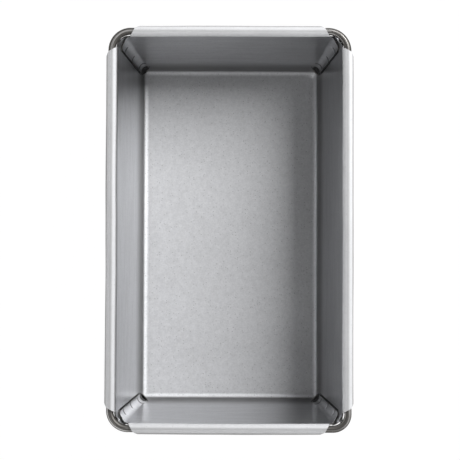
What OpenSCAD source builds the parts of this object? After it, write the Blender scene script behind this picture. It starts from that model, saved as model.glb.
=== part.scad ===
// Loaf pan with a wired rim, in millimetres.
// One folded sheet-steel blank makes the base, the four leaning walls, the lapped corners and the
// rolled rim. One bent steel wire runs inside the rolled rim and shows at the four corners.
// The origin is on the table under the middle of the base. Length runs along Y, width along X.

/* [Pan] */
// Inside width of the base, crease to crease
base_w = 114; // [90:1:150]
// Inside length of the base, crease to crease
base_l = 215; // [160:1:320]
// Height from the table to the top of the rim
pan_h = 70; // [55:1:95]
// Lean of all four walls away from upright, in degrees
wall_lean = 12; // [8:0.5:16]
// Thickness of the sheet
sheet_t = 0.7; // [0.5:0.05:0.9]
// Inside radius of the fold between the base and each wall
base_fold_r = 3; // [2:0.25:3]

/* [Rim] */
// Outside diameter of the rolled rim
bead_d = 7; // [6.7:0.1:8]
// How far the rolled rim turns, in degrees
bead_turn = 290; // [250:5:295]
// Diameter of the rim wire
wire_d = 4.5; // [3:0.1:4.8]
// Radius of the wire's centre line at each corner
wire_corner_r = 11.5; // [8:0.5:12]
// Gap between the two ends of the wire, hidden in one long rim
wire_joint_gap = 0.5; // [0.2:0.1:2]
// Distance from the inner corner to the full-width rolled rim
bead_end_run = 13; // [12:0.5:18]
// Radius of the rounded end of the rolled rim
bead_end_r = 6.2; // [6:0.1:6.5]

/* [Corners] */
// Inside radius of the corner fold
corner_fold_r = 4; // [3:0.25:4.5]
// Flat part of the inner flap, past the corner fold
inner_flap = 0.9; // [0.5:0.1:3]
// Flat part of the outer flap, past the corner fold
outer_flap = 9; // [4:0.5:12]
// Gap between sheets that lie against each other
lap_gap = 0.1; // [0.05:0.05:0.2]
// Depth of the V-shaped notch in the sheet below the rim at each corner
notch_depth = 6.5; // [4:0.5:8]
// Width of that notch at its mouth
notch_w = 8.8; // [6:0.2:10]
// Length of the slot across each base corner
slot_l = 5.9; // [4:0.1:8]
// Width of the slot across each base corner
slot_w = 2.2; // [1:0.1:3]
// Number of crimp marks up each corner
crimp_count = 3; // [0:1:3]
// Distance between crimp marks
crimp_pitch = 18; // [10:1:18]
// Width of a crimp mark
crimp_w = 0.6; // [0.3:0.1:1]
// Depth of a crimp mark
crimp_depth = 0.25; // [0.1:0.05:0.35]

/* [Hidden] */
$fn = 64;

// Steps in the drawn arcs of the base fold, the rolled rim and the corner fold.
fold_steps = 6;
bead_steps = 30;
corner_steps = 10;

// How far a cutting shape runs past what it cuts, and the box that holds one corner's details.
overcut = 1;
corner_box = 60;

// Rolled rim, in the profile plane: x is outward from the crease, y is up from the table.
bead_r = bead_d / 2;
wall_run = (pan_h - bead_r - sheet_t + bead_r * sin(wall_lean)) / cos(wall_lean);
rim_out = wall_run * sin(wall_lean);
bead_centre = [rim_out + bead_r * cos(wall_lean), pan_h - bead_r];
bead_bottom = pan_h - bead_d;

// Folds: the distance from a crease to where its fold starts, and the fold's centre.
base_fold_run = base_fold_r * tan((90 - wall_lean) / 2);
base_fold_centre = [-base_fold_run, sheet_t + base_fold_r];

// A corner line leans out along the diagonal. Its walls meet at an angle a little over square.
lean_run = tan(wall_lean);
corner_tilt = atan(lean_run * sqrt(2));
corner_half_angle = acos(-pow(sin(wall_lean), 2)) / 2;
corner_turn = 90 - corner_half_angle;
lap_step = sheet_t + lap_gap;
wall_end_trim = 0.6;
wall_end_inset = corner_fold_r + lap_step + wall_end_trim;
corner_overlap = 2.5;
blend_step = 0.01;

// Where each corner piece starts and stops above the table.
layer_bottom = sheet_t + base_fold_r;
layer_top = pan_h - 1;
outer_flap_top = bead_bottom - 1;
notch_mouth = pan_h - bead_r + 0.5;
notch_bottom = notch_mouth - notch_depth;
slot_top = 12;
first_crimp = 17;

// The wire lies tight under the crest of the rolled rim. Its straight runs are whole hundredths
// of a millimetre, so that each one meets its bends exactly.
wire_z = hundredths(pan_h - sheet_t - lap_gap - wire_d / 2);
wire_run_w = hundredths(base_w / 2 + bead_centre[0] - wire_corner_r);
wire_run_l = hundredths(base_l / 2 + bead_centre[0] - wire_corner_r);

function hundredths(value) = round(value * 100) / 100;

function arc(centre, r, from, to, steps) =
    [for (i = [0:steps]) let (a = from + (to - from) * i / steps) centre + r * [cos(a), sin(a)]];

function reversed(list) = [for (i = [len(list) - 1:-1:0]) list[i]];

// Cross-section of one wall: a lip of the base, the base fold, the leaning wall and the rolled rim.
module wall_profile() {
    lip = 4;
    wall_side = 180 - wall_lean;
    inner = concat(
        [[-base_fold_run - lip, sheet_t]],
        arc(base_fold_centre, base_fold_r, -90, -wall_lean, fold_steps),
        arc(bead_centre, bead_r, wall_side, wall_side - bead_turn, bead_steps)
    );
    outer = concat(
        [[-base_fold_run - lip, 0]],
        arc(base_fold_centre, base_fold_r + sheet_t, -90, -wall_lean, fold_steps),
        arc(bead_centre, bead_r - sheet_t, wall_side, wall_side - bead_turn, bead_steps)
    );
    polygon(concat(inner, reversed(outer)));
}

// Everything outside the rounded end of the rolled rim. x is outward, -y runs along the rim.
module bead_end_waste() {
    clear_of_wall = sheet_t + 0.1;
    round_centre_x = 1;
    difference() {
        translate([clear_of_wall, -bead_end_run])
            square([bead_d + overcut, bead_end_run + corner_box / 2]);
        translate([round_centre_x, -bead_end_run])
            circle(bead_end_r);
    }
}

// One wall with its share of the base fold and rim. It faces +X and ends short of both corners.
module wall(crease_x, crease_l) {
    half_l = crease_l / 2;
    below_bead = 0.5;
    translate([crease_x, 0, 0])
        difference() {
            intersection() {
                rotate([90, 0, 0])
                    linear_extrude(crease_l + 2 * rim_out, center = true)
                        wall_profile();
                wall_outline(half_l);
            }
            for (side = [0, 1])
                mirror([0, side, 0])
                    translate([rim_out, half_l + rim_out, bead_bottom - below_bead])
                        linear_extrude(bead_d + below_bead + overcut)
                            bead_end_waste();
        }
}

// Solid outline of a wall seen square on: mitred base folds below, leaning ends above.
module wall_outline(half_l) {
    mitre_top = sheet_t + base_fold_r;
    mitre_in = 10;
    fold_out = 0.7;
    end_low = half_l - wall_end_inset + mitre_top * lean_run;
    end_high = end_low + pan_h * lean_run;
    translate([-mitre_in, 0, 0])
        rotate([90, 0, 90])
            linear_extrude(corner_box)
                polygon([
                    [-end_low, mitre_top - blend_step],
                    [end_low, mitre_top - blend_step],
                    [end_high, mitre_top + pan_h],
                    [-end_high, mitre_top + pan_h]
                ]);
    translate([0, 0, -overcut])
        linear_extrude(mitre_top + overcut)
            polygon([
                [-mitre_in, -half_l + mitre_in],
                [fold_out, -half_l - fold_out],
                [fold_out, half_l + fold_out],
                [-mitre_in, half_l - mitre_in]
            ]);
}

// Puts its children on a corner line: z runs up the line, x points out of the pan.
module on_corner_line(base_point) {
    translate(base_point)
        rotate([0, corner_tilt, 45])
            children();
}

// Cross-section of a sheet folded round the corner line, with a flat tail along each wall.
module corner_profile(fold_r, end_tail, side_tail) {
    centre = [-fold_r / sin(corner_half_angle), 0];
    inner_r = fold_r + blend_step;
    outer_r = fold_r + sheet_t - blend_step;
    inner = arc(centre, inner_r, corner_turn, -corner_turn, corner_steps);
    outer = arc(centre, outer_r, corner_turn, -corner_turn, corner_steps);
    end_way = [-cos(corner_half_angle), sin(corner_half_angle)];
    side_way = [-cos(corner_half_angle), -sin(corner_half_angle)];
    polygon(concat(
        [inner[0] + end_tail * end_way],
        inner,
        [inner[corner_steps] + side_tail * side_way],
        [outer[corner_steps] + side_tail * side_way],
        reversed(outer),
        [outer[0] + end_tail * end_way]
    ));
}

// A folded sheet along the corner line at base_point, kept between two heights.
module corner_sheet(base_point, fold_r, end_tail, side_tail, low, high) {
    spare = corner_box / 2;
    intersection() {
        on_corner_line(base_point)
            translate([0, 0, -spare])
                linear_extrude(pan_h + 2 * spare)
                    corner_profile(fold_r, end_tail, side_tail);
        translate([(base_w - corner_box) / 2, (base_l - corner_box) / 2, low])
            cube([corner_box, corner_box, high - low]);
    }
}

// The end wall's sheet turns the corner inside the long wall. Crimp marks cross its fold.
module inner_layer() {
    base_point = [base_w / 2 - lap_step / cos(wall_lean), base_l / 2, sheet_t];
    difference() {
        corner_sheet(base_point, corner_fold_r, corner_overlap, inner_flap, layer_bottom, layer_top);
        for (i = [0:1:crimp_count - 1])
            on_corner_line(base_point)
                translate([-corner_fold_r / sin(corner_half_angle), 0, first_crimp + i * crimp_pitch])
                    cylinder(r = corner_fold_r + crimp_depth, h = crimp_w, center = true);
        corner_slot();
    }
}

// The long wall's sheet turns the corner outside the end wall, and stops below the rolled rim.
module outer_layer() {
    base_point = [base_w / 2, base_l / 2 + lap_step / cos(wall_lean), sheet_t];
    corner_sheet(base_point, corner_fold_r + lap_step, outer_flap, corner_overlap,
        layer_bottom, outer_flap_top);
}

// Slot across a base corner, cut straight down.
module corner_slot() {
    straight = slot_l - slot_w;
    translate([base_w / 2, base_l / 2, -overcut])
        rotate([0, 0, 45]) {
            translate([-slot_w / 2, -straight / 2, 0])
                cube([slot_w, straight, slot_top + overcut]);
            for (side = [-1, 1])
                translate([0, side * straight / 2, 0])
                    cylinder(d = slot_w, h = slot_top + overcut);
        }
}

// V-shaped notch through the sheets below the exposed wire, cut out along the diagonal.
module corner_notch() {
    above = pan_h + overcut - notch_bottom;
    spread = notch_w / 2 * above / notch_depth;
    translate([base_w / 2, base_l / 2, notch_bottom])
        rotate([90, 0, 135])
            linear_extrude(corner_box, center = true)
                polygon([[0, 0], [spread, above], [-spread, above]]);
}

module every_corner() {
    for (x = [0, 1], y = [0, 1])
        mirror([x, 0, 0])
            mirror([0, y, 0])
                children();
}

// The whole folded blank.
module folded_pan() {
    color("silver")
        difference() {
            union() {
                flat_w = base_w - 2 * base_fold_run;
                flat_l = base_l - 2 * base_fold_run;
                translate([-flat_w / 2, -flat_l / 2, 0])
                    cube([flat_w, flat_l, sheet_t]);
                for (turn = [0, 180])
                    rotate([0, 0, turn])
                        wall(base_w / 2, base_l);
                for (turn = [90, 270])
                    rotate([0, 0, turn])
                        wall(base_l / 2, base_w);
                every_corner() {
                    inner_layer();
                    outer_layer();
                }
            }
            every_corner() {
                corner_notch();
                slot_in_base();
            }
        }
}

// The part of the corner slot that is in the base and its folds, below the corner sheets.
module slot_in_base() {
    intersection() {
        corner_slot();
        translate([(base_w - corner_box) / 2, (base_l - corner_box) / 2, -2 * overcut])
            cube([corner_box, corner_box, layer_bottom + 2 * overcut]);
    }
}

// A straight length of wire lying along Y, between two points of its centre line.
module straight_wire(x, from_y, to_y) {
    translate([x, from_y, wire_z])
        rotate([-90, 0, 0])
            cylinder(d = wire_d, h = to_y - from_y);
}

// A quarter bend of wire in the +X +Y corner.
module wire_bend() {
    translate([wire_run_w, wire_run_l, wire_z])
        rotate_extrude(angle = 90)
            translate([wire_corner_r, 0])
                circle(d = wire_d);
}

// A closed wire ring, cut through once in the middle of a long side.
module rim_wire() {
    side_x = wire_run_w + wire_corner_r;
    end_y = wire_run_l + wire_corner_r;
    color("dimgray") {
        straight_wire(-side_x, -wire_run_l, wire_run_l);
        straight_wire(side_x, -wire_run_l, -wire_joint_gap / 2);
        straight_wire(side_x, wire_joint_gap / 2, wire_run_l);
        for (turn = [90, 270])
            rotate([0, 0, turn])
                straight_wire(end_y, -wire_run_w, wire_run_w);
        every_corner()
            wire_bend();
    }
}

folded_pan();
rim_wire();
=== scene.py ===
"""Loaf pan with a wired rim: one folded sheet of aluminised steel and one rim wire.

The CAD frame gives the overall size. The sheet is built here again as one thin folded surface, with
its crimp marks and the small waves of hand-worn tinware, and the wire as a round rod with worn streaks.
Lengths are in metres, with MM to write the small ones.
"""

import math

import bpy
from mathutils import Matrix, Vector, noise


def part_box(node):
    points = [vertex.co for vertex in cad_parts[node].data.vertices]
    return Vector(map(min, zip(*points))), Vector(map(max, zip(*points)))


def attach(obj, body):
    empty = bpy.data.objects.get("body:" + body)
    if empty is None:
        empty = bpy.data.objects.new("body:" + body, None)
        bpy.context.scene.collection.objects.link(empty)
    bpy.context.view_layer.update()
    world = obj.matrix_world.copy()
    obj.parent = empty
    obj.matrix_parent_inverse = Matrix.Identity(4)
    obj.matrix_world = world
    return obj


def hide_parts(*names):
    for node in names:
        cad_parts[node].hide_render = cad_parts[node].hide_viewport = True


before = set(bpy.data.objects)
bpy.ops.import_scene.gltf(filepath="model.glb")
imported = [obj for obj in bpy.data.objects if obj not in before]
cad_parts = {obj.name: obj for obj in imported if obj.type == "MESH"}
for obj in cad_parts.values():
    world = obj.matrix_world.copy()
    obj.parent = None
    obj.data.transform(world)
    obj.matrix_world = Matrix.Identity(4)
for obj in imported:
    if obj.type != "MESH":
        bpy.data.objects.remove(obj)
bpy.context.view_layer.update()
MM = 0.001

# ---------------------------------------------------------------- sizes of the folded sheet
PAN_LOW, PAN_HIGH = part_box("folded_pan")
PAN_HEIGHT = PAN_HIGH.z - PAN_LOW.z
SHEET = 0.7 * MM
LEAN = math.radians(12)
LEAN_RUN = math.tan(LEAN)
LAP_STEP = 0.8 * MM / math.cos(LEAN)
BASE_FOLD_R = 4 * MM
FOLD_RUN = BASE_FOLD_R * math.tan((math.pi / 2 - LEAN) / 2)

# The rolled rim, seen in a wall's cross-section: outward from the crease, and up from the table.
BEAD_R = 3.5 * MM
BEAD_START = math.pi - LEAN
BEAD_TURN = math.radians(290)
BEAD_END = BEAD_START - BEAD_TURN
BEAD_UP = PAN_HEIGHT - BEAD_R
RIM_UP = BEAD_UP + BEAD_R * math.sin(LEAN)
RIM_OUT = (RIM_UP - SHEET) * LEAN_RUN
BEAD_OUT = RIM_OUT + BEAD_R * math.cos(LEAN)
HALF_W = PAN_HIGH.x - BEAD_OUT - BEAD_R
HALF_L = PAN_HIGH.y - BEAD_OUT - BEAD_R

# The rolled rim's end is slanted, and rounded on its outer part.
BEAD_SLANT = 0.55
BEAD_ROUND_FROM = 5 * MM
BEAD_ROUNDING = 0.65 / MM

# Corner details: the slot at the bottom, the flaps, and the V-shaped notch under the wire.
# Two opposite corners are open ones: there the tab beside the wire is shorter and flares less.
SLOT_HALF_W = 1.3 * MM
FOLD_GROWTH = 0.055
FLAP_ROUND = 4.5 * MM
FLAP_FOOT_ROUND = 1.5 * MM
FLAP_FOOT_SHARE = 0.6
INNER_FLAP = 4.2 * MM
INNER_FLAP_LOW = 11.5 * MM
OUTER_FLAP = 14 * MM
OUTER_TAB = 4.5 * MM
OUTER_FLAP_LOW = 4.7 * MM
OUTER_FLAP_TOP = 61.5 * MM
OPEN_TAB_TOP = 63.2 * MM
FLARE_LOW = 57 * MM
FLARE = 2.2 * MM
OPEN_FLARE = 1.7 * MM
NOTCH_HALF_W = 4.5 * MM
CORNER_WAY = Vector((1, 1, 0)).normalized()

# How steeply a crimp's push and the flare grow round the corner fold, from its start.
CRIMP_RAMP = 3
FLARE_RAMP = 2

# Crimps across each corner. The sides say where a crimp's dark line starts and ends, as the distance
# past the end wall less the distance past the long wall.
CRIMP_HEIGHTS = [17 * MM, 34.5 * MM, 52 * MM]
CRIMP_SIDES = [(-2.2 * MM, 4.6 * MM), (-5.5 * MM, 0.5 * MM), (-5.5 * MM, 0.5 * MM)]
CRIMP_SPREAD = 0.75 * MM
CRIMP_REACH = 2.4 * CRIMP_SPREAD
CRIMP_DEPTH = 0.3 * MM

# Fineness of the sheet's grid, in columns along a wall and rows up it.
FINE_RUN = 12 * MM
FINE_COLUMNS = 24
COARSE_STEP = 1.7 * MM
HALF_FOLD_COLUMNS = 10
FLAP_COLUMNS = 16
BASE_FOLD_ROWS = 12
WALL_ROWS = 44
FLAP_FOOT_ROWS = (0.3 * MM, 0.8 * MM, 1.5 * MM)
SHOULDER_ROW = 0.1 * MM
CRIMP_ROWS = 10
FLAP_ROUND_ROWS = 9
NOTCH_ROWS = 7
BEAD_ROWS = 42
LEAST_ROW = 0.05 * MM
TINY = 0.01 * MM


class Wall:
    """One wall of the quarter pan: which way it faces, and how its sheet turns the corner.

    half_out and half_along are its crease's place and half length, and lap moves its corner fold along.
    The fold is conical, so its radius grows with height from fold_low. The flap is what lies past its
    middle, from flap_low up. The notch starts at notch_low, and end_trim shortens the rolled rim.
    """

    def __init__(self, faces_y, half_out, half_along, lap, fold_low, flap_low, notch_low, end_trim):
        self.faces_y = faces_y
        self.half_out = half_out
        self.half_along = half_along
        self.lap = lap
        self.fold_low = fold_low
        self.flap_low = flap_low
        self.notch_low = notch_low
        self.end_trim = end_trim

    def fold_r(self, up):
        return self.fold_low + FOLD_GROWTH * up

    def turn_start(self, up):
        """How far along the wall its corner fold starts at a height."""
        return self.half_along + (up - SHEET) * LEAN_RUN + self.lap - self.fold_r(up)

    def turned_point(self, along, up):
        """A point of the leaning wall, with along measured on the sheet, round the corner fold."""
        start = self.turn_start(up)
        radius = self.fold_r(up)
        out = (up - SHEET) * LEAN_RUN
        angle = min(max((along - start) / radius, 0), math.pi / 2)
        tail = max(along - start, 0) - angle * radius
        out -= radius * (1 - math.cos(angle)) + tail
        return self.point(out, min(along, start) + radius * math.sin(angle), up)

    def point(self, out, along, up):
        """A point at a distance out from the crease, along the wall, and up from the table."""
        outward = self.half_out + out
        return Vector((along, outward, up)) if self.faces_y else Vector((outward, along, up))


END_WALL = Wall(faces_y=True, half_out=HALF_L, half_along=HALF_W, lap=-LAP_STEP, fold_low=2.9 * MM,
                flap_low=INNER_FLAP_LOW, notch_low=61 * MM, end_trim=0.6 * MM)
LONG_WALL = Wall(faces_y=False, half_out=HALF_W, half_along=HALF_L, lap=LAP_STEP, fold_low=3.7 * MM,
                 flap_low=OUTER_FLAP_LOW, notch_low=64.6 * MM, end_trim=0)


# ---------------------------------------------------------------- the sheet as one surface
class Surface:
    """Vertices and faces of one quarter of the sheet, with its inner side facing the loaf."""

    def __init__(self):
        self.points = []
        self.faces = []

    def grid(self, rows, flipped):
        """Adds a grid of points, given row by row."""
        first = len(self.points)
        width = len(rows[0])
        for row in rows:
            self.points.extend(row)
        for r in range(len(rows) - 1):
            for c in range(width - 1):
                a = first + r * width + c
                quad = (a, a + 1, a + width + 1, a + width)
                self.faces.append(quad[::-1] if flipped else quad)

    def add_mirrored(self, other, sx, sy):
        """Adds another surface, mirrored in x or y when sx or sy is -1."""
        first = len(self.points)
        self.points.extend(Vector((p.x * sx, p.y * sy, p.z)) for p in other.points)
        for face in other.faces:
            ring = face if sx == sy else face[::-1]
            self.faces.append([first + i for i in ring])


def spread(start, end, count):
    """Even steps from start to end, both included."""
    return [start + (end - start) * i / count for i in range(count + 1)]


def shares_along(length):
    """Column places from the middle of a wall to its end, as shares: fine steps near the corner."""
    coarse_run = length - FINE_RUN
    coarse = spread(0, coarse_run, round(coarse_run / COARSE_STEP))
    fine = spread(coarse_run, length, FINE_COLUMNS)
    return [place / length for place in coarse + fine[1:]]


def wall_heights():
    """Row heights up the leaning wall: even steps, and fine ones at crimps, flap ends and notch."""
    low = SHEET + BASE_FOLD_R * (1 - math.sin(LEAN))
    heights = spread(low, RIM_UP, WALL_ROWS)
    heights += [INNER_FLAP_LOW, OUTER_FLAP_LOW, OUTER_FLAP_TOP, OUTER_FLAP_TOP + SHOULDER_ROW]
    heights += [INNER_FLAP_LOW + step for step in FLAP_FOOT_ROWS]
    for crimp in CRIMP_HEIGHTS:
        heights += spread(crimp - CRIMP_REACH, crimp + CRIMP_REACH, CRIMP_ROWS)
    for wall in (END_WALL, LONG_WALL):
        heights += spread(wall.notch_low - FLAP_ROUND, wall.notch_low, FLAP_ROUND_ROWS)
        heights += spread(wall.notch_low, RIM_UP, NOTCH_ROWS)
    kept = []
    for height in sorted(heights):
        if not kept or height - kept[-1] > LEAST_ROW:
            kept.append(height)
    return kept


def clamped(value):
    return max(0.0, min(1.0, value))


def notch_reach(wall, up):
    """Half the notch's width across the corner at a height."""
    return NOTCH_HALF_W * max(0.0, (up - wall.notch_low) / (RIM_UP - wall.notch_low))


def crimp_push(up):
    """How far the crimps push the corner fold out at a height."""
    return CRIMP_DEPTH * sum(math.exp(-((up - c) / CRIMP_SPREAD) ** 2) for c in CRIMP_HEIGHTS)


def slot_end(wall, out):
    """Where the sheet stops at the bottom of a corner: on the mitre, then at the slot."""
    return wall.half_along + min(out, -out - SLOT_HALF_W * math.sqrt(2))


def bead_trim(out):
    """How much shorter the rolled rim is, further out: a slanted end with a rounded outer corner."""
    side = out - RIM_OUT
    return BEAD_SLANT * side + max(0.0, side - BEAD_ROUND_FROM) ** 2 * BEAD_ROUNDING


def add_wall(surface, wall, open_corner):
    """Adds half a wall, from the base crease to its rolled rim, and the flap at its end."""
    shares = shares_along(wall.half_along - FOLD_RUN)
    heights = wall_heights()
    rows = []
    for angle in spread(-math.pi / 2, -LEAN, BASE_FOLD_ROWS)[:-1]:
        out = -FOLD_RUN + BASE_FOLD_R * math.cos(angle)
        up = SHEET + BASE_FOLD_R * (1 + math.sin(angle))
        rows.append([wall.point(out, slot_end(wall, out) * s, up) for s in shares])
    for up in heights[:-1]:
        end = wall.turn_start(up)
        if up < wall.flap_low - TINY:
            end = min(end, slot_end(wall, (up - SHEET) * LEAN_RUN))
        fold_reach = wall.fold_r(up) * math.sqrt(0.5)
        end -= max(0.0, notch_reach(wall, up) - fold_reach) * math.sqrt(2)
        rows.append([wall.turned_point(end * s, up) for s in shares])
    for angle in spread(BEAD_START, BEAD_END, BEAD_ROWS):
        out = BEAD_OUT + BEAD_R * math.cos(angle)
        up = BEAD_UP + BEAD_R * math.sin(angle)
        end = wall.turn_start(RIM_UP) - wall.end_trim - bead_trim(out)
        rows.append([wall.point(out, end * s, up) for s in shares])
    surface.grid(rows, not wall.faces_y)
    add_flap(surface, wall, heights[:-1], open_corner)


def add_flap(surface, wall, heights, open_corner):
    """The part of the sheet that turns the corner: half the fold up to the notch, then the flap."""
    near = []
    far = []
    for up in heights:
        if up < wall.flap_low - TINY:
            continue
        start = wall.turn_start(up)
        radius = wall.fold_r(up)
        middle = start + radius * math.pi / 4
        reach = notch_reach(wall, up) / radius
        if reach < math.sqrt(0.5):
            width = middle - start - radius * math.asin(reach)
            places = [start + width * s for s in spread(0, 1, HALF_FOLD_COLUMNS)]
            near.append([flap_point(wall, place, up, open_corner) for place in places])
        cut_short = open_corner and up > OPEN_TAB_TOP
        if up <= wall.notch_low + TINY and not cut_short:
            width = flap_width(wall, up)
            places = [middle + width * s for s in spread(0, 1, FLAP_COLUMNS)]
            far.append([flap_point(wall, place, up, open_corner) for place in places])
    surface.grid(near, not wall.faces_y)
    surface.grid(far, not wall.faces_y)


def flap_width(wall, up):
    """Width of the flap past the middle of the corner fold. The inner flap has rounded corners."""
    if wall is LONG_WALL:
        return OUTER_FLAP if up <= OUTER_FLAP_TOP + TINY else OUTER_TAB
    below_top = min(1.0, (wall.notch_low - up) / FLAP_ROUND)
    above_low = min(1.0, (up - wall.flap_low) / FLAP_FOOT_ROUND)
    top = math.sqrt(max(0.0, 1 - (1 - below_top) ** 2))
    foot = math.sqrt(max(0.0, 1 - (1 - above_low) ** 2))
    return INNER_FLAP * top * (FLAP_FOOT_SHARE + (1 - FLAP_FOOT_SHARE) * foot)


def flap_point(wall, along, up, open_corner):
    """A point of the corner fold. Crimps push the inner one back, and the outer one flares at its top."""
    point = wall.turned_point(along, up)
    turned = (along - wall.turn_start(up)) / (wall.fold_r(up) * math.pi / 2)
    if wall is END_WALL:
        return point + CORNER_WAY * crimp_push(up) * clamped(CRIMP_RAMP * turned)
    if up > wall.notch_low + TINY:
        return point
    rise = max(0.0, (up - FLARE_LOW) / (wall.notch_low - FLARE_LOW))
    flare = OPEN_FLARE if open_corner else FLARE
    return point + CORNER_WAY * flare * rise ** 2 * clamped(FLARE_RAMP * turned)


def add_base(surface):
    """Adds the flat of the base, as far as its folds."""
    flat_x = HALF_W - FOLD_RUN
    flat_y = HALF_L - FOLD_RUN
    across = [s * flat_x for s in shares_along(flat_x)]
    down = [s * flat_y for s in shares_along(flat_y)]
    rows = [[Vector((x, y, SHEET)) for x in across] for y in down]
    surface.grid(rows, False)


# ---------------------------------------------------------------- the waves of worn tinware
# The seed fixes where the noise starts, so every run gives the same waves.
WAVE_SEED = 7
noise.seed_set(WAVE_SEED)
SLOW_WAVES = 14
FAST_WAVES = 45
SLOW_PLACE = Vector((3.1, 0.7, 5.3))
FAST_PLACE = Vector((8.2, 4.4, 1.9))
SLOW_AMOUNT = 0.35
FAST_AMOUNT = 0.12
WALL_BOW = 0.25 * MM
BASE_LIFT = 0.15 * MM
LIFT_VARIES = 0.2
RIM_DIP = 0.12 * MM
DIP_VARIES = 0.25


def waved(point):
    """How far the real sheet has sprung at a point: walls bow, rims dip, and the base lifts a little."""
    height = clamped(point.z / PAN_HEIGHT)
    slow = noise.noise_vector(point * SLOW_WAVES + SLOW_PLACE)
    fast = noise.noise_vector(point * FAST_WAVES + FAST_PLACE)
    bow = (SLOW_AMOUNT * slow + FAST_AMOUNT * fast) * MM
    inward_x = -point.x / PAN_HIGH.x * (WALL_BOW + bow.x) * height
    inward_y = -point.y / PAN_HIGH.y * (WALL_BOW + bow.y) * height
    middle = (1 - (point.x / HALF_W) ** 2) * (1 - (point.y / HALF_L) ** 2)
    lift = max(0.0, middle) * (BASE_LIFT + LIFT_VARIES * bow.z) * (1 - height)
    dip = -(RIM_DIP + DIP_VARIES * bow.z) * height
    return Vector((inward_x, inward_y, max(lift, 0.0) + min(dip, 0.0) * height))


# ---------------------------------------------------------------- pieces as objects
CORNERS = [(1, 1), (-1, 1), (-1, -1), (1, -1)]
WELD_REACH = 0.004 * MM
SHARP_ANGLE = math.radians(40)


def new_object(name, mesh):
    made = bpy.data.objects.new(name, mesh)
    bpy.context.scene.collection.objects.link(made)
    return made


def build_sheet(materials):
    """The whole sheet: four mirrored quarters welded together, waved, and given their thickness."""
    whole = Surface()
    for sx, sy in CORNERS:
        quarter = Surface()
        add_base(quarter)
        add_wall(quarter, END_WALL, False)
        add_wall(quarter, LONG_WALL, sx != sy)
        whole.add_mirrored(quarter, sx, sy)
    mesh = bpy.data.meshes.new("pan_sheet")
    mesh.from_pydata(whole.points, [], whole.faces)
    for material in materials:
        mesh.materials.append(material)
    sheet = new_object("pan_sheet", mesh)

    weld = sheet.modifiers.new("weld", "WELD")
    weld.merge_threshold = WELD_REACH
    apply_modifiers(sheet)
    for vertex in sheet.data.vertices:
        vertex.co += waved(vertex.co)
    thick = sheet.modifiers.new("sheet thickness", "SOLIDIFY")
    thick.thickness = SHEET
    thick.offset = -1
    thick.use_even_offset = True
    thick.material_offset_rim = 1
    apply_modifiers(sheet)
    return sheet


def apply_modifiers(piece):
    """Turns the piece's modifiers into plain mesh."""
    bpy.context.view_layer.update()
    evaluated = piece.evaluated_get(bpy.context.evaluated_depsgraph_get())
    mesh = bpy.data.meshes.new_from_object(evaluated)
    mesh.name = piece.name
    piece.modifiers.clear()
    piece.data = mesh


def smooth(piece):
    """Smooth shading, with an edge kept sharp where the faces meet at more than the sharp angle."""
    piece.data.polygons.foreach_set("use_smooth", [True] * len(piece.data.polygons))
    piece.data.set_sharp_from_angle(angle=SHARP_ANGLE)


# ---------------------------------------------------------------- the rim wire
WIRE_R = 2.25 * MM
WIRE_CLEARANCE = 0.1 * MM
WIRE_UP = PAN_HEIGHT - SHEET - WIRE_CLEARANCE - WIRE_R
WIRE_JOINT = 0.5 * MM
WIRE_SIDES = 28
CORNER_RADII = [12.4 * MM, 12.0 * MM, 11.4 * MM, 9.6 * MM]
CORNER_ROOM = 14 * MM
CORNER_STEPS = 24
STRAIGHT_STEPS = 40
LONG_STRAIGHT_STEPS = 60
UPWARD = Vector((0, 0, 1))


def wire_path():
    """Centre line of the wire, once round from the joint in the middle of the right-hand rim."""
    half_x = HALF_W + BEAD_OUT
    half_y = HALF_L + BEAD_OUT
    end_x = half_x - CORNER_ROOM
    end_y = half_y - CORNER_ROOM
    straights = [
        [Vector((x, half_y, WIRE_UP)) for x in spread(end_x, -end_x, STRAIGHT_STEPS)],
        [Vector((-half_x, y, WIRE_UP)) for y in spread(end_y, -end_y, LONG_STRAIGHT_STEPS)],
        [Vector((x, -half_y, WIRE_UP)) for x in spread(-end_x, end_x, STRAIGHT_STEPS)],
        [Vector((half_x, y, WIRE_UP)) for y in spread(-end_y, -WIRE_JOINT / 2, STRAIGHT_STEPS)],
    ]
    path = [Vector((half_x, y, WIRE_UP)) for y in spread(WIRE_JOINT / 2, end_y, STRAIGHT_STEPS)]
    for number, (sx, sy) in enumerate(CORNERS):
        r = CORNER_RADII[number]
        centre = Vector((sx * (half_x - r), sy * (half_y - r), WIRE_UP))
        for angle in spread(number * math.pi / 2, (number + 1) * math.pi / 2, CORNER_STEPS):
            path.append(centre + r * Vector((math.cos(angle), math.sin(angle), 0)))
        path.extend(straights[number])
    return path


def rod_points(path):
    """Rings of points round the path, one ring for each of its points."""
    last = len(path) - 1
    points = []
    for i, centre in enumerate(path):
        way = (path[min(i + 1, last)] - path[max(i - 1, 0)]).normalized()
        out = way.cross(UPWARD)
        for k in range(WIRE_SIDES):
            angle = 2 * math.pi * k / WIRE_SIDES
            points.append(centre + WIRE_R * (math.cos(angle) * out + math.sin(angle) * UPWARD))
    return points


def rod_faces(rings):
    """Faces between neighbouring rings, then the two ends."""
    faces = []
    for first in range(0, (rings - 1) * WIRE_SIDES, WIRE_SIDES):
        for k in range(WIRE_SIDES):
            a = first + k
            b = first + (k + 1) % WIRE_SIDES
            faces.append((a, b, b + WIRE_SIDES, a + WIRE_SIDES))
    faces.append(list(range(WIRE_SIDES))[::-1])
    faces.append([(rings - 1) * WIRE_SIDES + k for k in range(WIRE_SIDES)])
    return faces


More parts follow.
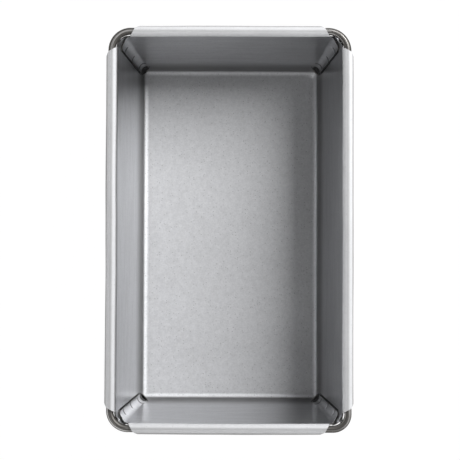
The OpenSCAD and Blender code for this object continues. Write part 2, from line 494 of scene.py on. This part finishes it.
def add_run_layer(mesh, path):
    """Texture places in metres, along the wire and round it. A ring's last side ends at a full turn."""
    runs = [0.0]
    for before, after in zip(path, path[1:]):
        runs.append(runs[-1] + (after - before).length)
    layer = mesh.uv_layers.new(name="along_wire")
    side_faces = len(mesh.polygons) - 2
    for polygon in mesh.polygons:
        closing = polygon.index < side_faces and polygon.index % WIRE_SIDES == WIRE_SIDES - 1
        for corner in polygon.loop_indices:
            ring, side = divmod(mesh.loops[corner].vertex_index, WIRE_SIDES)
            if closing and side == 0:
                side = WIRE_SIDES
            layer.data[corner].uv = (runs[ring], side / WIRE_SIDES * 2 * math.pi * WIRE_R)


def build_wire(material):
    """A round rod along the path, with the ends of the joint closed."""
    path = wire_path()
    mesh = bpy.data.meshes.new("wire_ring")
    mesh.from_pydata([p + waved(p) for p in rod_points(path)], [], rod_faces(len(path)))
    add_run_layer(mesh, path)
    mesh.materials.append(material)
    return new_object("wire_ring", mesh)


# ---------------------------------------------------------------- material helpers
def new_group(name, inputs, outputs):
    """A shader node group with named number sockets, and the sockets to build between."""
    group = bpy.data.node_groups.new(name, "ShaderNodeTree")
    for label, default in inputs:
        socket = group.interface.new_socket(name=label, in_out="INPUT", socket_type="NodeSocketFloat")
        socket.default_value = default
    for label in outputs:
        group.interface.new_socket(name=label, in_out="OUTPUT", socket_type="NodeSocketFloat")
    source = group.nodes.new("NodeGroupInput")
    sink = group.nodes.new("NodeGroupOutput")
    return group, source.outputs, sink.inputs


def link(tree, start, end):
    tree.links.new(start, end)


def node(tree, kind, **settings):
    made = tree.nodes.new(kind)
    for name, value in settings.items():
        setattr(made, name, value)
    return made


def feed(tree, socket, value):
    """Sets a socket to a number, or links another node's output to it."""
    if isinstance(value, (int, float)):
        socket.default_value = value
    else:
        link(tree, value, socket)


def math_node(tree, operation, *values):
    made = node(tree, "ShaderNodeMath", operation=operation)
    for socket, value in zip(made.inputs, values):
        feed(tree, socket, value)
    return made.outputs["Value"]


def product(tree, *values):
    result = values[0]
    for value in values[1:]:
        result = math_node(tree, "MULTIPLY", result, value)
    return result


def ranged(tree, value, low, high, to_low, to_high):
    """Value moved smoothly from the range low..high into to_low..to_high."""
    made = node(tree, "ShaderNodeMapRange", interpolation_type="SMOOTHSTEP")
    link(tree, value, made.inputs["Value"])
    for label, limit in (("From Min", low), ("From Max", high), ("To Min", to_low), ("To Max", to_high)):
        feed(tree, made.inputs[label], limit)
    return made.outputs["Result"]


def noise_value(tree, vector, scale, detail, roughness=0.5, stretch=(1, 1, 1)):
    """Soft noise from 0 to 1. A large number in stretch packs it closer along that axis."""
    mapping = node(tree, "ShaderNodeMapping")
    mapping.inputs["Scale"].default_value = stretch
    link(tree, vector, mapping.inputs["Vector"])
    made = node(tree, "ShaderNodeTexNoise", noise_dimensions="3D")
    link(tree, mapping.outputs["Vector"], made.inputs["Vector"])
    made.inputs["Detail"].default_value = detail
    made.inputs["Roughness"].default_value = roughness
    feed(tree, made.inputs["Scale"], scale)
    return made.outputs["Fac"]


def object_place(tree):
    return node(tree, "ShaderNodeTexCoord").outputs["Object"]


def object_axes(tree):
    """The place on the object, as outputs X, Y and Z."""
    axes = node(tree, "ShaderNodeSeparateXYZ")
    link(tree, object_place(tree), axes.inputs["Vector"])
    return axes.outputs


def placed(tree, group, **values):
    """Puts a node group into a tree, with the given numbers at its inputs."""
    made = node(tree, "ShaderNodeGroup", node_tree=group)
    for label, value in values.items():
        made.inputs[label].default_value = value
    return made.outputs


def mix_colours(tree, mask, first, second):
    """The first colour where the mask is 0 and the second where it is 1."""
    made = node(tree, "ShaderNodeMix", data_type="RGBA")
    link(tree, mask, made.inputs["Factor"])
    for label, value in (("A", first), ("B", second)):
        socket = [s for s in made.inputs if s.name == label and s.type == "RGBA"][0]
        if isinstance(value, tuple):
            socket.default_value = (*value, 1)
        else:
            link(tree, value, socket)
    return [s for s in made.outputs if s.type == "RGBA"][0]


def partly(tree, mask, strength):
    """A mask at a part of its strength."""
    return math_node(tree, "MULTIPLY", mask, strength)


def add_bump(tree, shader, height, depth, strength):
    """Fine relief on a material, from a height pattern."""
    bump = node(tree, "ShaderNodeBump")
    bump.inputs["Distance"].default_value = depth
    feed(tree, bump.inputs["Strength"], strength)
    link(tree, height, bump.inputs["Height"])
    link(tree, bump.outputs["Normal"], shader.inputs["Normal"])


def new_material(name):
    material = bpy.data.materials.new(name)
    material.use_nodes = True
    tree = material.node_tree
    return material, tree, tree.nodes["Principled BSDF"]


# ---------------------------------------------------------------- shared surface groups
NOISE_LOW = 0.3
NOISE_HIGH = 0.7


def mottle_group():
    """Patchy grain of a hot-dipped coating, coarse and fine, and rolling streaks along the walls."""
    inputs = [("Coarse", 160), ("Fine", 900)]
    group, source, sink = new_group("coating mottle", inputs, ["Mottle", "Grain", "Streak"])
    place = object_place(group)
    coarse = noise_value(group, place, source["Coarse"], detail=3)
    fine = noise_value(group, place, source["Fine"], detail=2, roughness=0.6)
    streak = noise_value(group, place, scale=35, detail=3, roughness=0.6, stretch=(1, 1, 9))
    link(group, ranged(group, coarse, NOISE_LOW, NOISE_HIGH, 0, 1), sink["Mottle"])
    link(group, ranged(group, fine, NOISE_LOW, NOISE_HIGH, 0, 1), sink["Grain"])
    link(group, ranged(group, streak, 0.36, 0.64, 0, 1), sink["Streak"])
    return group


def speck_group():
    """Small dark specks and pits, as a mask. Amount is the share of cells that hold one."""
    inputs = [("Spacing", 420), ("Amount", 0.5)]
    group, source, sink = new_group("dark specks", inputs, ["Mask"])
    speck_core = 0.08
    speck_edge = 0.26
    cells = node(group, "ShaderNodeTexVoronoi", feature="F1")
    link(group, object_place(group), cells.inputs["Vector"])
    link(group, source["Spacing"], cells.inputs["Scale"])
    dot = ranged(group, cells.outputs["Distance"], speck_core, speck_edge, 1, 0)
    chance = node(group, "ShaderNodeSeparateColor")
    link(group, cells.outputs["Color"], chance.inputs["Color"])
    chosen = math_node(group, "LESS_THAN", chance.outputs["Red"], source["Amount"])
    link(group, product(group, dot, chosen), sink["Mask"])
    return group


def past(group, axis, half, up):
    """Distance past an inner wall face at a height, outward along an axis. Negative inside the pan."""
    face = math_node(group, "MULTIPLY_ADD", up, LEAN_RUN, half)
    return math_node(group, "SUBTRACT", math_node(group, "ABSOLUTE", axis), face)


def band(group, value, low, high, blur):
    """1 between low and high, fading to 0 over the blur outside them."""
    rise = ranged(group, value, low - blur, low, 0, 1)
    fall = ranged(group, value, high, high + blur, 1, 0)
    return product(group, rise, fall)


def foot_mask(group, up, top):
    """Painted shade in a strip up the foot of every wall, above the base fold, fading out at the top."""
    clear_of_base = 1.2 * MM
    full_from = 2.6 * MM
    full_to = 7 * MM
    rise = ranged(group, up, clear_of_base, full_from, 0, 1)
    return product(group, rise, ranged(group, up, full_to, top, 1, 0))


def crimp_mask(group, up, side, deep):
    """Painted shade: the dark line in each crimp's crease, kept near the corner."""
    half_height = 0.4 * MM
    near_from = -9 * MM
    near_to = -7 * MM
    lines = []
    for height, (low, high) in zip(CRIMP_HEIGHTS, CRIMP_SIDES):
        level = band(group, up, height - half_height, height + half_height, 0.9 * MM)
        lines.append(product(group, level, band(group, side, low, high, 1 * MM)))
    near = ranged(group, deep, near_from, near_to, 0, 1)
    line = math_node(group, "ADD", math_node(group, "ADD", lines[0], lines[1]), lines[2])
    return product(group, line, near)


def seam_mask(group, up, across, along):
    """Painted shadow: the dark line beside the inner flap's edge on the long wall, where the flap stands
    off it.
    """
    flap_reach = 4.75 * MM
    reach_growth = 0.0195
    width = 0.6 * MM
    top = 56 * MM
    edge = math_node(group, "ADD", along, math_node(group, "MULTIPLY_ADD", up, reach_growth, flap_reach))
    beside_edge = band(group, edge, -width, 0.0, 0.4 * MM)
    on_wall = band(group, across, -1 * MM, 2 * MM, 0.5 * MM)
    return product(group, beside_edge, on_wall, band(group, up, INNER_FLAP_LOW, top, 3 * MM))


def slot_mask(group, place):
    """Painted shade, nearly black, round the slot at the bottom of a corner."""
    out_x = math_node(group, "SUBTRACT", math_node(group, "ABSOLUTE", place["X"]), HALF_W)
    out_y = math_node(group, "SUBTRACT", math_node(group, "ABSOLUTE", place["Y"]), HALF_L)
    beside = math_node(group, "SUBTRACT", out_y, out_x)
    beyond = math_node(group, "ADD", out_y, out_x)
    half_width = 4.2 * MM
    below_flap = ranged(group, place["Z"], 9 * MM, 11.5 * MM, 1, 0)
    return product(group, band(group, beside, -half_width, half_width, 1.2 * MM),
                   band(group, beyond, -1.6 * MM, 3.8 * MM, 1 * MM), below_flap)


def lip_mask(group, place, across):
    """Painted shade: a dark line under the rolled rim, on the left-hand long wall only."""
    left_side = ranged(group, place["X"], -1 * MM, 1 * MM, 1, 0)
    level = band(group, place["Z"], RIM_UP - 2 * MM, RIM_UP + 0.9 * MM, 0.6 * MM)
    return product(group, level, left_side, band(group, across, -1 * MM, 4 * MM, 0.5 * MM))


def gap_mask(group, up, deep):
    """Painted shadow on the sheet deep in the corner, just under the wire."""
    in_corner = ranged(group, deep, -2.6 * MM, -1.6 * MM, 0, 1)
    return product(group, in_corner, band(group, up, 58 * MM, 64.7 * MM, 0.3 * MM))


def rim_masks(group, place):
    """Painted dark reflection on the rolled rims: along their outermost edge, and a thin line along their
    crest.
    """
    outmost = []
    crests = []
    half_width = 0.4 * MM
    for axis, edge in (("X", PAN_HIGH.x), ("Y", PAN_HIGH.y)):
        outward = math_node(group, "ABSOLUTE", place[axis])
        outmost.append(ranged(group, outward, edge - 1.5 * MM, edge - 0.6 * MM, 0, 1))
        crest = edge - BEAD_R - 0.3 * MM
        crests.append(band(group, outward, crest - half_width, crest + half_width, 0.6 * MM))
    high = ranged(group, place["Z"], PAN_HEIGHT - 1.2 * MM, PAN_HEIGHT - 0.7 * MM, 0, 1)
    crest_line = product(group, math_node(group, "MAXIMUM", *crests), high)
    return math_node(group, "MAXIMUM", *outmost), crest_line


def painted_shade_group():
    """Painted shade, as masks, alike at all corners: dark lines and patches in creases, seams, the corner
    slot, under the rim and the wire, and dark reflection lines on the rims. The lip's is on one long wall
    only.
    """
    names = ["Foot", "Crimp", "Seam", "Slot", "Lip", "Gap", "Outer", "Crest"]
    group, source, sink = new_group("painted shade", [("Foot Top", 22 * MM)], names)
    place = object_axes(group)
    up = place["Z"]
    across = past(group, place["X"], HALF_W, up)
    along = past(group, place["Y"], HALF_L, up)
    side = math_node(group, "SUBTRACT", along, across)
    deep = math_node(group, "ADD", along, across)
    outer, crest = rim_masks(group, place)
    masks = [
        foot_mask(group, up, source["Foot Top"]),
        crimp_mask(group, up, side, deep),
        seam_mask(group, up, across, along),
        slot_mask(group, place),
        lip_mask(group, place, across),
        gap_mask(group, up, deep),
        outer,
        crest,
    ]
    for name, mask in zip(names, masks):
        link(group, mask, sink[name])
    return group


# ---------------------------------------------------------------- materials
# The heights at which the base gives way to the walls, and the walls to the rim.
BASE_TO = 1 * MM
WALLS_FROM = 4 * MM
RIM_BLUR = 0.5 * MM

# Contrast of the grain on the walls and on the base, and strengths of the other marks.
GRAIN_ON_WALLS = 0.42
GRAIN_ON_BASE = 0.7
STREAK_STRENGTH = 0.2
SPECK_STRENGTH = 0.75
RIM_STRENGTH = 0.25

# Roughness of the walls from smooth to grainy, and what the base and the rim add to it.
ROUGH_LOW = 0.27
ROUGH_HIGH = 0.33
ROUGH_BASE = 0.34
ROUGH_RIM = 0.45

COAT_GREY = (0.61, 0.615, 0.63)
COAT_PALE = (0.78, 0.785, 0.80)
STREAK_GREY = (0.45, 0.45, 0.455)
SPECK_GREY = (0.25, 0.25, 0.26)
RIM_GREY = (0.53, 0.53, 0.535)
# Each mask of painted shade, with how strongly it covers the sheet and how bright it is.
PAINTED_SHADE_MARKS = [
    ("Foot", 0.75, 0.16),
    ("Crimp", 0.8, 0.06),
    ("Seam", 0.95, 0.02),
    ("Slot", 0.97, 0.02),
    ("Lip", 0.6, 0.1),
    ("Gap", 0.97, 0.01),
    ("Outer", 0.6, 0.2),
    ("Crest", 0.28, 0.25),
]
WIRE_DARK = (0.105, 0.1, 0.094)
WIRE_BRIGHT = (0.6, 0.59, 0.58)
# The colour of the painted shade on the wire's flanks and underside.
WIRE_SHADE = (0.035, 0.032, 0.029)
WIRE_PIT = (0.05, 0.045, 0.04)


def coat_grain(tree, coat, contrast):
    """Coarse and fine grain of the coating together, round 0.5."""
    grain = math_node(tree, "ADD", partly(tree, coat["Mottle"], 0.4), partly(tree, coat["Grain"], 0.6))
    return math_node(tree, "MULTIPLY_ADD", math_node(tree, "SUBTRACT", grain, 0.5), contrast, 0.5)


def pan_colour(tree, coat, grain, speck, base, rim, painted_shade):
    """Grain, rolling streaks on the walls, specks, a greyer rim, and the painted shade on top."""
    colour = mix_colours(tree, grain, COAT_GREY, COAT_PALE)
    walls = math_node(tree, "SUBTRACT", math_node(tree, "SUBTRACT", 1, base), partly(tree, rim, 0.4))
    streak = product(tree, coat["Streak"], walls, STREAK_STRENGTH)
    colour = mix_colours(tree, streak, colour, STREAK_GREY)
    colour = mix_colours(tree, speck, colour, SPECK_GREY)
    colour = mix_colours(tree, partly(tree, rim, RIM_STRENGTH), colour, RIM_GREY)
    # Painted shade: each mask darkens the sheet towards a near black.
    for label, strength, shade in PAINTED_SHADE_MARKS:
        warm_black = (shade, shade * 0.98, shade * 0.96)
        colour = mix_colours(tree, partly(tree, painted_shade[label], strength), colour, warm_black)
    return colour


def pan_steel(mottle, specks, shade_mask_group):
    """Aluminised sheet: pale grey and fine-grained, matt on the base and rim, smoother on the walls."""
    material, tree, shader = new_material("pan_steel")
    coat = placed(tree, mottle, Coarse=320, Fine=950)
    fine_specks = placed(tree, specks, Spacing=620, Amount=0.45)
    # Masks of painted shade.
    painted_shade = placed(tree, shade_mask_group)
    up = object_axes(tree)["Z"]
    base = ranged(tree, up, BASE_TO, WALLS_FROM, 1, 0)
    rim = ranged(tree, up, RIM_UP - RIM_BLUR, RIM_UP + RIM_BLUR, 0, 1)

    contrast = ranged(tree, base, 0, 1, GRAIN_ON_WALLS, GRAIN_ON_BASE)
    grain = coat_grain(tree, coat, contrast)
    speck = product(tree, fine_specks["Mask"], contrast, SPECK_STRENGTH)
    colour = pan_colour(tree, coat, grain, speck, base, rim, painted_shade)
    link(tree, colour, shader.inputs["Base Color"])

    # The painted shade in the slot and in the gap under the wire is also made dull and unreflecting, so
    # those patches stay dark.
    deep_shade = math_node(tree, "MAXIMUM", painted_shade["Slot"], painted_shade["Gap"])
    metal_share = math_node(tree, "SUBTRACT", 1, partly(tree, deep_shade, 0.95))
    metal = product(tree, ranged(tree, rim, 0, 1, 1.0, 0.55), metal_share)
    link(tree, metal, shader.inputs["Metallic"])
    link(tree, ranged(tree, deep_shade, 0, 1, 0.5, 0.03), shader.inputs["Specular IOR Level"])
    shader.inputs["Specular Tint"].default_value = (0.6, 0.6, 0.6, 1)

    matt = math_node(tree, "MULTIPLY_ADD", base, ROUGH_BASE, partly(tree, rim, ROUGH_RIM))
    grainy = ranged(tree, grain, 0, 1, ROUGH_LOW, ROUGH_HIGH)
    link(tree, math_node(tree, "ADD", grainy, matt), shader.inputs["Roughness"])
    add_bump(tree, shader, grain, 0.04 * MM, math_node(tree, "MULTIPLY_ADD", base, 0.2, 0.05))
    return material


def cut_edge(mottle):
    """Sheared edges of the sheet, painted nearly black as shade, so they read as the dark lines of the
    seams and gaps they border.
    """
    material, tree, shader = new_material("cut_edge")
    coat = placed(tree, mottle, Coarse=400, Fine=1500)
    # Painted shade: the edges are nearly black.
    colour = mix_colours(tree, coat["Mottle"], (0.05, 0.047, 0.043), (0.12, 0.115, 0.11))
    link(tree, colour, shader.inputs["Base Color"])
    shader.inputs["Metallic"].default_value = 0.6
    shader.inputs["Roughness"].default_value = 0.6
    return material


def wire_steel(specks):
    """Dark drawn wire with fine lengthwise scratches, some of them worn bright, and painted shade on its
    flanks and underside.
    """
    material, tree, shader = new_material("wire_steel")
    run = node(tree, "ShaderNodeUVMap", uv_map="along_wire").outputs["UV"]
    streak = noise_value(tree, run, scale=1.0, detail=3, roughness=0.55, stretch=(25, 800, 1))
    worn = ranged(tree, streak, 0.48, 0.64, 0, 1)
    pits = placed(tree, specks, Spacing=700, Amount=0.5)
    up = object_axes(tree)["Z"]
    # Painted shade: the wire is darkened below its top, on the flanks and underside.
    shaded_flank = ranged(tree, up, WIRE_UP + 0.55 * WIRE_R, WIRE_UP + 0.85 * WIRE_R, 1, 0)
    colour = mix_colours(tree, worn, WIRE_DARK, WIRE_BRIGHT)
    colour = mix_colours(tree, partly(tree, shaded_flank, 0.85), colour, WIRE_SHADE)
    colour = mix_colours(tree, partly(tree, pits["Mask"], 0.5), colour, WIRE_PIT)
    link(tree, colour, shader.inputs["Base Color"])
    shader.inputs["Metallic"].default_value = 0.6
    shader.inputs["Specular Tint"].default_value = (0.25, 0.25, 0.25, 1)
    link(tree, ranged(tree, worn, 0, 1, 0.45, 0.28), shader.inputs["Roughness"])
    add_bump(tree, shader, streak, 0.05 * MM, 0.3)
    return material


# ---------------------------------------------------------------- studio
CAMERA_DISTANCE = 1.2975
CAMERA_TILT = math.radians(2.75)
CAMERA_SIDE = math.radians(0.4)
CAMERA_ROLL = math.radians(0.2)
CAMERA_LENS = 162.3
CAMERA_AIM = Vector((0.38 * MM, -0.63 * MM, PAN_HEIGHT))
WORLD_LEVEL = 1.0
WORLD_ZENITH = 0.165
WORLD_AWAY_FROM_KEY = 2.4
HORIZON_TO = 0.15
ZENITH_FROM = 0.45
FLOOR_REACH = 3.0
FLOOR_DROP = 0.05 * MM
# The painted shadow on the floor: dark up to this far past the foot, white from the next.
FLOOR_DARK_TO = 4 * MM
FLOOR_WHITE_FROM = 11 * MM


def add_camera():
    """A long lens nearly straight above the pan, leaning and rolled a little."""
    data = bpy.data.cameras.new("camera")
    data.lens = CAMERA_LENS
    data.sensor_width = 36
    camera = new_object("camera", data)
    camera.rotation_euler = (CAMERA_TILT, CAMERA_SIDE, 0)
    camera.rotation_euler.rotate_axis("Z", CAMERA_ROLL)
    camera.location = CAMERA_AIM + CAMERA_DISTANCE * (camera.rotation_euler.to_matrix() @ UPWARD)
    bpy.context.scene.camera = camera


def add_panel(name, place, width, depth, brightness):
    """A flat light panel overhead, facing down."""
    data = bpy.data.lights.new(name, "AREA")
    data.shape = "RECTANGLE"
    data.size = width
    data.size_y = depth
    data.energy = brightness * math.pi * width * depth
    new_object(name, data).location = place


def add_world():
    """Soft white light from all round, weaker higher up, and stronger near the floor opposite the key."""
    world = bpy.data.worlds.new("studio")
    bpy.context.scene.world = world
    world.use_nodes = True
    tree = world.node_tree
    way = node(tree, "ShaderNodeSeparateXYZ")
    link(tree, node(tree, "ShaderNodeTexCoord").outputs["Generated"], way.inputs["Vector"])
    toward_key = math_node(tree, "ADD", way.outputs["X"], way.outputs["Y"])
    near_floor = ranged(tree, toward_key, -1, 1, WORLD_AWAY_FROM_KEY * WORLD_LEVEL, WORLD_LEVEL)
    strength = ranged(tree, way.outputs["Z"], HORIZON_TO, ZENITH_FROM, near_floor, WORLD_ZENITH)
    background = tree.nodes["Background"]
    link(tree, strength, background.inputs["Strength"])
    background.inputs["Color"].default_value = (1, 1, 1, 1)


def floor_white():
    """A glowing white floor with a painted shadow: dark under the pan and a few millimetres round it, so
    that no light comes up through the corner slots.
    """
    material, tree, shader = new_material("floor_white")
    shader.inputs["Base Color"].default_value = (0.01, 0.01, 0.01, 1)
    shader.inputs["Roughness"].default_value = 1.0
    shader.inputs["Specular IOR Level"].default_value = 0.0
    shader.inputs["Emission Color"].default_value = (1, 1, 1, 1)
    place = object_axes(tree)
    sides = []
    for axis, half in (("X", HALF_W), ("Y", HALF_L)):
        outward = math_node(tree, "ABSOLUTE", place[axis])
        sides.append(ranged(tree, outward, half + FLOOR_DARK_TO, half + FLOOR_WHITE_FROM, 0, 1))
    link(tree, math_node(tree, "MAXIMUM", *sides), shader.inputs["Emission Strength"])
    return material


def add_floor():
    corners = [(sx * FLOOR_REACH, sy * FLOOR_REACH, 0) for sx, sy in ((-1, -1), (1, -1), (1, 1), (-1, 1))]
    mesh = bpy.data.meshes.new("floor")
    mesh.from_pydata(corners, [], [(0, 1, 2, 3)])
    mesh.materials.append(floor_white())
    floor = new_object("floor", mesh)
    floor.location.z = -FLOOR_DROP


# ---------------------------------------------------------------- assembly
mottle = mottle_group()
specks = speck_group()
# The masks of painted shade used on the sheet.
shade_mask_group = painted_shade_group()

sheet = build_sheet([pan_steel(mottle, specks, shade_mask_group), cut_edge(mottle)])
smooth(sheet)
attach(sheet, "root")
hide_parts("folded_pan")

wire = build_wire(wire_steel(specks))
smooth(wire)
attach(wire, "root")
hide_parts("rim_wire")

add_floor()
add_world()
add_panel("key", place=(1.5, 1.2, 1.35), width=1.8, depth=1.3, brightness=15.5)
add_panel("fill", place=(-0.2, -1.25, 1.35), width=1.2, depth=0.35, brightness=2)
add_camera()
bpy.context.scene.view_settings.view_transform = "Standard"
